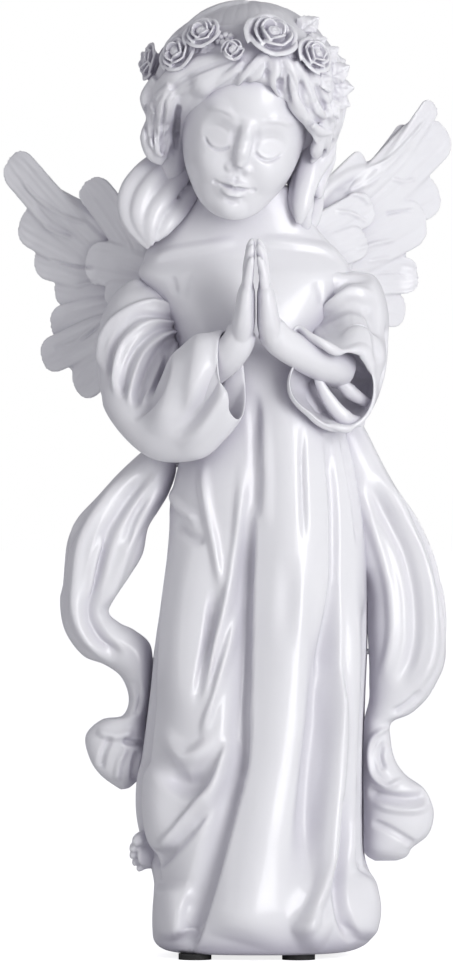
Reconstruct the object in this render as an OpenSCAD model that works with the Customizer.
// Resin angel figurine: a hollow cast gown that carries cast pieces on dowels and spigots.
// Millimetres. +Z is up, the face looks along -Y, and the origin is on the floor under the
// middle of the figure. "Right" and "left" are the angel's own, so its right side is at -X.

/* [Figure] */
// Height from the floor to the top of the hair
figure_height = 320; // [270:5:390]
// Width across the wing tips
figure_width = 150; // [126:2:180]
// Depth from the fingertips to the wing tips
figure_depth = 98; // [84:2:116]

/* [Castings] */
// Gap that the glue fills between two castings
glue_gap = 0.15; // [0.05:0.05:0.3]
// Height of the plug that closes the gown underneath
plug_height = 5; // [3:0.5:8]
// Depth of the socket in the gown that the bust's spigot stands in
spigot_depth = 9; // [6:1:12]
// Diameter of the bust's spigot
spigot_d = 20; // [14:1:24]
// Diameter of the neck, which plugs into the head
neck_d = 20; // [16:1:24]
// Depth of one gown fold from crest to valley
fold_depth = 3.2; // [1:0.2:4]

/* [Wreath] */
// Diameter of the largest rose; the others are steps down from it
rose_d = 17; // [14:0.5:20]
// Diameter of one berry
berry_d = 2.6; // [2:0.2:3.2]
// Length of one leaf
leaf_length = 11; // [9:0.5:13]

/* [Dowels and pads] */
// Diameter of the steel dowels that hold the wings
wing_dowel_d = 3; // [2:0.5:4]
// Length of a wing dowel
wing_dowel_length = 16; // [12:1:20]
// Diameter of the steel dowels that hold the arms and the scarf ends
small_dowel_d = 2; // [1.5:0.5:3]
// Length of a small dowel
small_dowel_length = 10; // [8:1:12]
// Running room around a dowel in its hole
dowel_room = 0.05; // [0.05:0.05:0.15]
// Diameter of a foot pad
pad_d = 11; // [8:0.5:12]
// Thickness of a foot pad
pad_thickness = 2; // [1:0.5:4]

/* [Hidden] */
$fn = 48;
resin = "whitesmoke";
// The outlines below are drawn for a figure of this size, above the underside of the hem.
drawn_height = 318;
drawn_width = 150;
drawn_depth = 98;
stretch = [figure_width / drawn_width,
           figure_depth / drawn_depth,
           (figure_height - pad_thickness) / drawn_height];

// ---- Curves and skins ----

// A point of the drawn figure, in the figure as sized
function placed(p) = [p.x * stretch.x, p.y * stretch.y, pad_thickness + p.z * stretch.z];
// A direction or half-axis of the drawn figure, in the figure as sized
function sized(v) = [v.x * stretch.x, v.y * stretch.y, v.z * stretch.z];
function unit(v) = v / norm(v);
function sum(list, i = 0) = i < len(list) - 1 ? list[i] + sum(list, i + 1) : list[i];
// Catmull-Rom between b and c
function between(a, b, c, d, t) =
    0.5 * (2 * b + (c - a) * t + (2 * a - 5 * b + 4 * c - d) * t * t
           + (3 * b - a - 3 * c + d) * t * t * t);
// A list of stations drawn through again with n smooth steps
function smooth(list, n) =
    [for (i = [0:n])
        let (s = i * (len(list) - 1) / n, k = min(floor(s), len(list) - 2))
        between(list[max(k - 1, 0)], list[k], list[k + 1], list[min(k + 2, len(list) - 1)], s - k)];

// A level ring through [z, left x, right x, front y, back y], squarer as power passes 2
function level_ring(s, grow, sides, power, pleats, depth) =
    [for (i = [0:sides - 1])
        let (a = 360 * i / sides,
             ca = sign(cos(a)) * pow(abs(cos(a)), 2 / power),
             sa = sign(sin(a)) * pow(abs(sin(a)), 2 / power),
             dip = depth * (0.5 - 0.5 * cos(pleats * a + s[0])))
        placed([(s[1] + s[2]) / 2, (s[3] + s[4]) / 2, s[0]])
        + [ca * (stretch.x * (s[2] - s[1]) / 2 - dip + grow),
           sa * (stretch.y * (s[4] - s[3]) / 2 - dip + grow), 0]];
// A ring round [centre, half-axis, other half-axis]
function free_ring(s, grow, sides) =
    [for (i = [0:sides - 1])
        let (a = 360 * i / sides, u = sized(s[1]), v = sized(s[2]))
        placed(s[0]) + (u + grow * unit(u)) * cos(a) + (v + grow * unit(v)) * sin(a)];

function volume_sign(p, faces) = sign(sum([for (f = faces) cross(p[f[0]], p[f[1]]) * p[f[2]]]));

// A closed solid through rings that all have the same number of points
module skin(rings) {
    n = len(rings[0]);
    last = len(rings) - 1;
    points = [for (r = rings) each r, sum(rings[0]) / n, sum(rings[last]) / n];
    low = len(points) - 2;
    sides = [for (k = [0:last - 1], i = [0:n - 1])
                let (j = (i + 1) % n)
                each [[k * n + i, k * n + n + i, k * n + n + j], [k * n + i, k * n + n + j, k * n + j]]];
    ends = [for (i = [0:n - 1])
                let (j = (i + 1) % n)
                each [[low, i, j], [low + 1, last * n + j, last * n + i]]];
    faces = concat(sides, ends);
    outward = volume_sign(points, faces) < 0;
    polyhedron(points, outward ? faces : [for (f = faces) [f[0], f[2], f[1]]]);
}

module level_skin(stations, steps, sides, grow = 0, power = 2, pleats = 0, depth = 0) {
    drawn = smooth(stations, steps);
    skin([for (s = drawn)
            level_ring(s, grow, sides, power, pleats, depth * (1 - s[0] / drawn_height))]);
}

module free_skin(stations, steps, sides, grow = 0) {
    skin([for (s = smooth(stations, steps)) free_ring(s, grow, sides)]);
}

// A small ball in level rings, flattened a little at its poles
module ball(at, d) {
    skin([for (rise = [-75:30:75])
            [for (a = [0:30:330])
                placed(at) + d / 2 * [cos(rise) * cos(a), cos(rise) * sin(a), sin(rise)]]]);
}

// ---- Gown, plug and pads ----

// Each station is [z, left x, right x, front y, back y]
gown_stations = [
    [0, -21, 43, -35, 30], [6, -25, 49, -39, 34], [14, -25, 51, -41, 36], [28, -26, 47, -38, 36],
    [43, -30, 46, -36, 36], [58, -30, 46, -34, 34], [83, -27, 46, -32, 31], [103, -25, 47, -31, 29],
    [123, -21, 47, -29, 27], [148, -18, 45, -27, 25], [170, -14, 42, -25, 22],
    [188, -12, 35, -24, 20], [204, -13, 32, -21, 18]];
gown_pleats = 9;
gown_sides = 54;
gown_steps = 22;
gown_power = 2.6;
neckline_z = 204;
// The hollow inside the gown, open at the hem
mouth = [-9, 31, -20, 16];
mouth_z = 9;
hollow_stations = [
    [-1, each mouth], [mouth_z, each mouth], [58, -14, 31, -19, 18], [118, -6, 33, -14, 14],
    [160, 3, 26, -8, 8], [178, 9, 18, -3, 3]];
hollow_steps = 10;
hollow_sides = 24;
spigot_at = [9.5, -1.5];
front_pads = [[-10.5, -24.5], [24, -25]];
rear_pads = [[-8, 20], [28, 20]];

module gown_body(grow = 0) {
    level_skin(gown_stations, gown_steps, gown_sides, grow, gown_power, gown_pleats, fold_depth);
}

module gown() {
    color(resin) difference() {
        gown_body();
        level_skin(hollow_stations, hollow_steps, hollow_sides);
        translate(placed([each spigot_at, neckline_z]) - [0, 0, spigot_depth + glue_gap])
            cylinder(d = spigot_d + 2 * glue_gap, h = spigot_depth + 2);
        scarf_dowel_holes();
    }
}

module base_plug() {
    color("gainsboro") intersection() {
        level_skin(hollow_stations, hollow_steps, hollow_sides, -glue_gap);
        translate([-figure_width / 2, -figure_depth / 2, pad_thickness])
            cube([figure_width, figure_depth, plug_height]);
    }
}

module pad(at) {
    color([0.03, 0.03, 0.03])
        translate([at.x * stretch.x, at.y * stretch.y, 0]) cylinder(d = pad_d, h = pad_thickness);
}
module pad_front_right() { pad(front_pads[0]); }
module pad_front_left() { pad(front_pads[1]); }
module pad_rear_right() { pad(rear_pads[0]); }
module pad_rear_left() { pad(rear_pads[1]); }

// ---- Bust, head and hair ----

bust_stations = [
    [204, -12, 31, -20, 17], [210, -16, 34, -19, 18], [218, -22, 38, -17, 18],
    [226, -27, 41, -14, 17], [231, -24, 38, -11, 16], [235, -13, 28, -9, 14],
    [239, -3, 18, -7, 10]];
neck_at = [7.5, 1.5];
neck_top = 256;

module bust_body(grow = 0) {
    level_skin(bust_stations, 14, 36, grow);
}

module neck(room = 0) {
    foot = placed([each neck_at, 234]);
    top = placed([each neck_at, neck_top]) + [0, 0, room];
    translate(foot) cylinder(d = neck_d + 2 * room, h = top.z - foot.z);
}

module bust() {
    color(resin) difference() {
        union() {
            bust_body();
            neck();
            translate(placed([each spigot_at, neckline_z]) - [0, 0, spigot_depth])
                cylinder(d = spigot_d, h = spigot_depth + 4);
        }
        wing_dowel_holes();
        sleeve_dowel_holes();
    }
}

// The head is drawn upright round its own centre, then bowed and leaned
head_at = [7, -8, 280.5];
bow = 17;
lean = 12;
turn = 3;
head_stations = [
    [-32, -5, 5, -23, -12], [-27, -12, 12, -27, 4], [-18, -17.5, 17.5, -28.5, 14],
    [-5, -20.5, 20.5, -28, 20], [7, -21, 21, -26, 24], [19, -18, 18, -21, 22],
    [27, -11.5, 11.5, -13, 15], [31, -3, 3, -4, 5]];
hair_stations = [
    [-26, -20, 20, 4, 24], [-18, -25, 25, -4, 28], [-6, -31, 29, -13, 31], [6, -34, 31, -22, 32],
    [16, -33, 30, -27, 31], [26, -27, 24, -25, 27], [34, -16, 14, -14, 18], [37.6, -4, 3, -3, 6]];
face_half_width = 19;
face_low = -44;
face_high = 17;
face_depth = 14;

module on_head() {
    translate(placed(head_at)) rotate([bow, lean, turn]) translate([0, 0, -pad_thickness]) children();
}

module head_body(grow = 0) {
    on_head() level_skin(head_stations, 14, 30, grow);
}

module hair_body(grow = 0) {
    on_head() level_skin(hair_stations, 14, 30, grow);
}

// The opening that the hair leaves round the face, cut from in front
module face_opening() {
    high = face_high * stretch.z;
    low = face_low * stretch.z;
    on_head() translate([0, -face_depth * stretch.y, pad_thickness])
        rotate([90, 0, 0]) linear_extrude(60)
            polygon([for (a = [0:12:348])
                        [face_half_width * stretch.x * cos(a),
                         (high + low) / 2 + (high - low) / 2 * sin(a)]]);
}

module head() {
    color(resin) difference() {
        head_body();
        neck(glue_gap);
    }
}

module hair() {
    color(resin) difference() {
        hair_body();
        head_body(glue_gap);
        face_opening();
        neck(glue_gap);
    }
}

// Each station is [centre, half-axis, other half-axis]
right_lock_stations = [
    [[-12, 6, 270], [7, 0, 1], [0, 6, 0]], [[-18, 8, 261], [10, 0, 1], [0, 8, 0]],
    [[-22, 7, 251], [13, 0, 2], [0, 9, 0]], [[-23, 4, 242], [10, 0, 3], [0, 7, 1]],
    [[-24, 0, 236], [3, 0, 2], [0, 3, 1]]];
left_lock_stations = [
    [[27, 6, 271], [7, 0, -1], [0, 6, 0]], [[29, 4, 262], [7, 0, -1], [0, 7, 0]],
    [[29, -1, 252], [6.5, 0, -1], [0, 6, 0]], [[28, -5, 244], [5, 0, -1], [0, 4, 1]],
    [[28, -8, 239], [2, 0, 0], [0, 2, 0]]];

module hair_lock(stations) {
    color(resin) difference() {
        free_skin(stations, 10, 18);
        hair_body(glue_gap);
        head_body(glue_gap);
        neck(glue_gap);
        bust_body(glue_gap);
    }
}
module right_hair_lock() { hair_lock(right_lock_stations); }
module left_hair_lock() { hair_lock(left_lock_stations); }

// ---- Wreath of roses ----

// Each seat is [place, direction the flower faces, size against the largest rose]
crown_seat = [[15.5, -31.5, 307], [0.27, -0.68, 0.68], 1];
left_temple_seat = [[27.5, -31.6, 297.5], [0.62, -0.66, 0.42], 0.78];
right_temple_seat = [[-7.7, -29.6, 306.5], [-0.4, -0.58, 0.7], 0.7];
right_side_seat = [[-16.3, -27, 299.5], [-0.66, -0.64, 0.38], 0.7];
right_edge_seat = [[-24, -11, 297.5], [-0.94, -0.28, 0.2], 0.72];
bud_seat = [[2.5, -38.7, 299.5], [-0.2, -0.93, 0.3], 0.52];
// Outline of half a rose through its axis: petal rims rising to the heart
rose_profile = [[0, -0.3], [0.6, -0.3], [0.86, 0], [1, 0.3], [0.93, 0.44], [0.8, 0.34], [0.74, 0.56],
                [0.66, 0.62], [0.56, 0.46], [0.48, 0.7], [0.4, 0.74], [0.32, 0.56], [0.24, 0.76],
                [0.12, 0.8], [0, 0.66]];
// Each leaf is [place, direction of the tip, direction it faces]
leaf_seats = [
    [[26.3, -22.3, 308], [0.62, 0.2, 0.75], [0.65, -0.46, 0.61]],
    [[35.7, -21.2, 294.5], [0.3, 0.2, 0.9], [0.85, -0.4, 0.3]],
    [[37.5, -18, 286], [0.3, 0.5, -0.8], [0.93, -0.29, -0.22]],
    [[-24, -8.5, 286.5], [-0.3, 0.3, -0.9], [-0.91, -0.26, -0.31]],
    [[3.8, -30.6, 309.6], [-0.3, 0.6, 0.72], [-0.12, -0.65, 0.75]]];
berry_seats = [[-2.2, -35.4, 303.6], [0.9, -34.8, 305.9], [-4.4, -35.6, 301.1], [33.7, -27.2, 291]];

module facing(direction) {
    d = unit(direction);
    rotate([0, acos(d.z), atan2(d.y, d.x)]) children();
}

module rose(seat) {
    r = rose_d / 2 * seat[2];
    color(resin) difference() {
        translate(placed(seat[0])) facing(seat[1])
            rotate_extrude() polygon([for (q = rose_profile) r * q]);
        hair_body(glue_gap);
        head_body(glue_gap);
    }
}
module rose_crown() { rose(crown_seat); }
module rose_left_temple() { rose(left_temple_seat); }
module rose_right_temple() { rose(right_temple_seat); }
module rose_right_side() { rose(right_side_seat); }
module rose_right_edge() { rose(right_edge_seat); }
module rose_bud() { rose(bud_seat); }

module leaf(seat) {
    along = unit(seat[1]);
    across = unit(cross(along, seat[2]));
    through = cross(across, along);
    wide = [0.35, 0.8, 1, 0.95, 0.7, 0.12];
    rings = [for (i = [0:5])
                [for (a = [0:45:315])
                    placed(seat[0]) + along * leaf_length * (i / 5 - 0.35)
                    + across * leaf_length * 0.3 * wide[i] * cos(a)
                    + through * (1.1 * sin(a) - 1.2 * pow(i / 5 - 0.4, 2))]];
    skin(rings);
}

module wreath_leaves() {
    color(resin) difference() {
        for (seat = leaf_seats) leaf(seat);
        hair_body(glue_gap);
        head_body(glue_gap);
    }
}

module wreath_berries() {
    color(resin) difference() {
        for (at = berry_seats) ball(at, berry_d);
        hair_body(glue_gap);
        head_body(glue_gap);
    }
}

// ---- Sleeves and hands ----

right_sleeve_stations = [
    [[-24, 5, 225], [4, 0, -2], [0, 5, 0]], [[-27, 4, 219], [9, 0, -4], [0, 10, 0]],
    [[-30, 2, 208], [12, 0, -1], [0, 12.5, 1]], [[-30, -2, 196], [12.5, 0, 2], [0, 13, 2]],
    [[-27, -9, 186], [11, 2, 9], [2, 12, 3]], [[-19, -18, 182], [4, 2, 16], [5, 9, 1]],
    [[-9, -26, 184], [-1, 1, 18.5], [6, 8, 0]], [[0, -32, 189], [-1, 0, 16.5], [5, 7, 0]]];
right_mouth_stations = [
    [[-12, -24, 187], [0, 1, 8], [3, 4, 0]], [[-7, -27, 187], [-1, 1, 14], [4.2, 5.4, 0]],
    [[2, -33.3, 190], [-1, 0, 14.6], [4, 5.6, 0]]];
left_sleeve_stations = [
    [[37, 4, 228], [4, 0, 2], [0, 5, 0]], [[41, 3, 222], [9, 0, 4], [0, 10, 0]],
    [[42.5, 1, 212], [11, 0, 2], [0, 12, -1]], [[42, -4, 202], [11.5, 0, 0], [0, 12, -5]],
    [[40.5, -12, 195], [12, 1, 0], [0, 9, -11]], [[38.5, -20, 190], [13, 3, 0], [0, 3, -15]],
    [[37, -27, 188], [13.5, 5, 0], [0, 0, -15.5]]];
left_mouth_stations = [
    [[39.5, -14, 192], [7, 1, 0], [0, 4, -7]], [[38.5, -20, 190], [11, 2.6, 0], [0, 2.5, -13]],
    [[36.9, -28, 188], [11.6, 4.2, 0], [0, 0, -13.6]]];
right_hand_stations = [
    [[-10, -27, 191], [0, 1, 5], [3, 4, 0]], [[-2, -33, 199], [-3, -1, 4], [3, 4, 0]],
    [[4, -38, 207], [-4, 0, 1.5], [1, 5, 0]], [[6, -40, 215], [-3.7, 0, 0], [0, 8, 1]],
    [[6.5, -41.5, 223], [-3.3, 0, 0], [0, 7.3, 1]], [[7.2, -43, 231], [-2.4, 0, 0], [0, 5, 1]],
    [[8.6, -44.5, 236.6], [-0.7, 0, 0], [0, 1.2, 0]]];
left_hand_stations = [
    [[36, -17, 193], [4, 2, 2], [0, 3, -5]], [[28, -30, 200], [3, 3, 2], [2, 2, -5]],
    [[20, -36, 206], [3.5, 1, 2.5], [1, -5, -2]], [[14.5, -40, 214], [4.4, 0, 1], [0, -8, -1]],
    [[13.2, -41.5, 222], [3.3, 0, 0], [0, -7.3, -1]], [[12.1, -43, 230], [2.4, 0, 0], [0, -5, -1]],
    [[10.0, -44.5, 235.6], [0.7, 0, 0], [0, -1.2, 0]]];
// Dowels in the shoulders: middle of each dowel
sleeve_dowel_places = [[-21, 4, 216], [35.5, 4, 217]];

module right_sleeve_body(grow = 0) {
    difference() {
        free_skin(right_sleeve_stations, 16, 22, grow);
        free_skin(right_mouth_stations, 4, 16, -grow);
    }
}

module left_sleeve_body(grow = 0) {
    difference() {
        free_skin(left_sleeve_stations, 16, 22, grow);
        free_skin(left_mouth_stations, 4, 16, -grow);
    }
}

module right_sleeve() {
    color(resin) difference() {
        right_sleeve_body();
        bust_body(glue_gap);
        gown_body(glue_gap);
        sleeve_dowel_holes();
    }
}

module left_sleeve() {
    color(resin) difference() {
        left_sleeve_body();
        bust_body(glue_gap);
        gown_body(glue_gap);
        sleeve_dowel_holes();
    }
}

module right_hand() {
    color(resin) difference() {
        free_skin(right_hand_stations, 14, 16);
        right_sleeve_body(glue_gap);
        gown_body(glue_gap);
    }
}

module left_hand() {
    color(resin) difference() {
        free_skin(left_hand_stations, 14, 16);
        left_sleeve_body(glue_gap);
        gown_body(glue_gap);
        free_skin(right_hand_stations, 14, 16, glue_gap);
    }
}

// ---- Wings ----

// How far the wings stand behind the figure's middle, and how fast they sweep back
wing_start = 12;
wing_sweep = 0.571;
// Each feather is [root [out, up], tip [out, up], half-width, distance behind the wing's face]
right_feathers = [
    [[26, 214], [74, 264], 9, 0], [[24, 208], [67, 246], 8, 0.8], [[24, 204], [61, 229], 7, 1.7],
    [[24, 204], [60, 213], 6, 0.5], [[24, 202], [62, 201], 5.5, 1.4], [[24, 200], [52, 190], 5.5, 0.3],
    [[28, 226], [48, 256], 8, 2.3], [[20, 222], [36, 244], 8, 2.9], [[22, 212], [46, 226], 8, -1.2],
    [[22, 206], [45, 210], 7, -0.7], [[20, 203], [42, 197], 6, -1.6]];
left_feathers = [
    [[30, 236], [69, 286], 7.5, 0], [[30, 230], [73.5, 276], 7.5, 0.8], [[28, 226], [71, 260], 7, 1.7],
    [[26, 222], [66, 245], 6.5, 0.5], [[26, 220], [64, 228], 6.5, 1.4], [[24, 218], [60.5, 215], 6, 0.3],
    [[32, 240], [46, 268], 7, 2.3], [[24, 236], [38, 260], 8, 2.9], [[26, 230], [52, 252], 8, -1.2],
    [[24, 224], [50, 236], 7, -0.7], [[22, 220], [48, 222], 6, -1.6]];
feather_thickness = 3.2;
// Each wing dowel lies along Y: [x, z]
right_wing_dowels = [[-12, 222], [-9, 211]];
left_wing_dowels = [[27, 223], [25, 212]];
wing_dowel_y = 14.5;

function on_wing(side, q, behind) =
    [side * q.x, wing_start + wing_sweep * (q.x - 12) + behind, q.y];

module feather(side, f) {
    root = placed(on_wing(side, f[0], f[3]));
    tip = placed(on_wing(side, f[1], f[3]));
    along = unit(tip - root);
    face = unit([-side * -wing_sweep, -1, 0]);
    across = unit(cross(along, face));
    through = cross(across, along);
    wide = [0.55, 0.85, 1, 1, 0.82, 0.25];
    place = [0, 0.25, 0.5, 0.75, 0.92, 1];
    skin([for (i = [0:5])
            [for (a = [0:45:315])
                root + (tip - root) * place[i]
                + across * f[2] * wide[i] * cos(a)
                + through * feather_thickness / 2 * (i == 5 ? 0.5 : 1) * sin(a)]]);
}

module wing_root(side, places) {
    middle = sum(places) / len(places);
    out = [side * (abs(middle.x - 7.5) + 22), middle.y + 4];
    skin([for (s = [[[middle.x, 10, middle.y - 1], 8, 14, 0], [[middle.x + side * 2, 18, middle.y], 8, 13, 20],
                    [[middle.x + side * 8, 23, middle.y + 1], 6, 12, 50],
                    [[side * 33, 26, out.y + 4], 4, 10, 65], [[side * 42, 30, out.y + 12], 2.5, 6, 65]])
            [for (a = [0:30:330])
                placed(s[0]) + [cos(s[3]), side * -sin(s[3]), 0] * s[1] * cos(a)
                + [0, 0, s[2]] * sin(a)]]);
}

module wing(side, feathers, places) {
    color(resin) difference() {
        union() {
            for (f = feathers) feather(side, f);
            wing_root(side, places);
        }
        bust_body(glue_gap);
        gown_body(glue_gap);
        wing_dowel_holes();
    }
}
module right_wing() { wing(-1, right_feathers, right_wing_dowels); }
module left_wing() { wing(1, left_feathers, left_wing_dowels); }

// ---- Scarf ends ----

right_scarf_stations = [
    [[-21, 2, 168], [-5, 0, 3], [0, 6, 0]], [[-29, 1, 158], [-7.5, 0, 6], [0, 8, 0]],
    [[-37, 0, 148], [-10, 0, 6.5], [0, 9, 0]], [[-41, 0, 138], [-12, 0, 4.5], [0, 10, 0]],
    [[-44.5, 0, 126], [-11, 0, 1], [0, 10, 0]], [[-45.5, 0, 114], [-9, 0, -2.5], [0, 9, 0]],
    [[-40, 0, 104], [-6.5, 0, -5], [0, 8, 0]], [[-32, 0, 94], [-5.5, 0, -3], [0, 7, 0]],
    [[-30.5, 0, 84], [-4.5, 0, 0], [0, 6, 0]], [[-36, 0, 75], [-10, 0, 1.5], [0, 7, 0]],
    [[-36, 0, 67], [-9.7, 0, 0], [0, 6, 0]], [[-35.5, 0, 60], [-6.5, 0, -1], [0, 5, 0]],
    [[-34, 0, 56], [-2.5, 0, -0.5], [0, 3, 0]]];
left_scarf_stations = [
    [31, 46, 52, -3, 4], [36, 47, 61, -6, 7], [45, 48, 69, -8, 9], [56, 48, 65, -8, 8],
    [65, 47, 57, -6, 7], [77, 47, 55.5, -6, 7], [86, 48, 67, -8, 8], [97, 48, 73, -9, 10],
    [110, 47.5, 74.6, -9, 11], [124, 47, 73, -9, 11], [140, 46, 67.5, -8, 10],
    [150, 44, 62, -7, 9], [160, 42, 54, -6, 8], [168, 42, 50, -4, 6]];
// Dowels in the scarf ends: middle of each dowel, lying along X
scarf_dowel_places = [[-15.5, 2, 163], [-26, 0, 97], [46, 1, 140], [47.5, 1, 100]];

module right_scarf() {
    color(resin) difference() {
        free_skin(right_scarf_stations, 30, 16);
        gown_body(glue_gap);
        free_skin(right_sleeve_stations, 16, 22, glue_gap);
        scarf_dowel_holes();
    }
}

module left_scarf() {
    color(resin) difference() {
        level_skin(left_scarf_stations, 30, 18);
        gown_body(glue_gap);
        free_skin(left_sleeve_stations, 16, 22, glue_gap);
        scarf_dowel_holes();
    }
}

// ---- Bare foot ----

foot_stations = [
    [[-18, -4, 34], [0, 5, 0], [0, 0, 5]], [[-23, -8, 34], [1, 6, 0], [0, 0, 5.5]],
    [[-28, -12, 33], [1, 5.5, 0], [0, 0, 5]], [[-30, -13.5, 33], [0, 4, 0], [0, 0, 4]]];
toe_places = [[-30.2, -17, 36.5], [-31, -14.5, 34], [-31, -12.3, 31.4], [-30.4, -10.6, 29],
              [-29.2, -9.4, 27.2]];
toe_sizes = [4.4, 3.6, 3.4, 3.2, 2.8];

module bare_foot() {
    color(resin) difference() {
        union() {
            free_skin(foot_stations, 6, 14);
            for (i = [0:4]) ball(toe_places[i], toe_sizes[i]);
        }
        gown_body(glue_gap);
    }
}

// ---- Dowels ----

module wing_dowel(place, room = 0) {
    translate(placed([place.x, wing_dowel_y, place.y])) rotate([90, 0, 0])
        cylinder(d = wing_dowel_d + 2 * room, h = wing_dowel_length + 2 * room, center = true);
}

module small_dowel(place, room = 0) {
    translate(placed(place)) rotate([0, 90, 0])
        cylinder(d = small_dowel_d + 2 * room, h = small_dowel_length + 2 * room, center = true);
}

module wing_dowel_holes() {
    for (p = concat(right_wing_dowels, left_wing_dowels)) wing_dowel(p, dowel_room);
}

module sleeve_dowel_holes() {
    for (p = sleeve_dowel_places) small_dowel(p, dowel_room);
}

module scarf_dowel_holes() {
    for (p = scarf_dowel_places) small_dowel(p, dowel_room);
}

module wing_dowels() {
    color("silver") for (p = concat(right_wing_dowels, left_wing_dowels)) wing_dowel(p);
}

module sleeve_dowels() {
    color("silver") for (p = sleeve_dowel_places) small_dowel(p);
}

module scarf_dowels() {
    color("silver") for (p = scarf_dowel_places) small_dowel(p);
}

// ---- The figure ----

gown();
base_plug();
pad_front_right();
pad_front_left();
pad_rear_right();
pad_rear_left();
bust();
head();
hair();
right_hair_lock();
left_hair_lock();
rose_crown();
rose_left_temple();
rose_right_temple();
rose_right_side();
rose_right_edge();
rose_bud();
wreath_leaves();
wreath_berries();
right_sleeve();
left_sleeve();
right_hand();
left_hand();
right_wing();
left_wing();
wing_dowels();
sleeve_dowels();
scarf_dowels();
right_scarf();
left_scarf();
bare_foot();
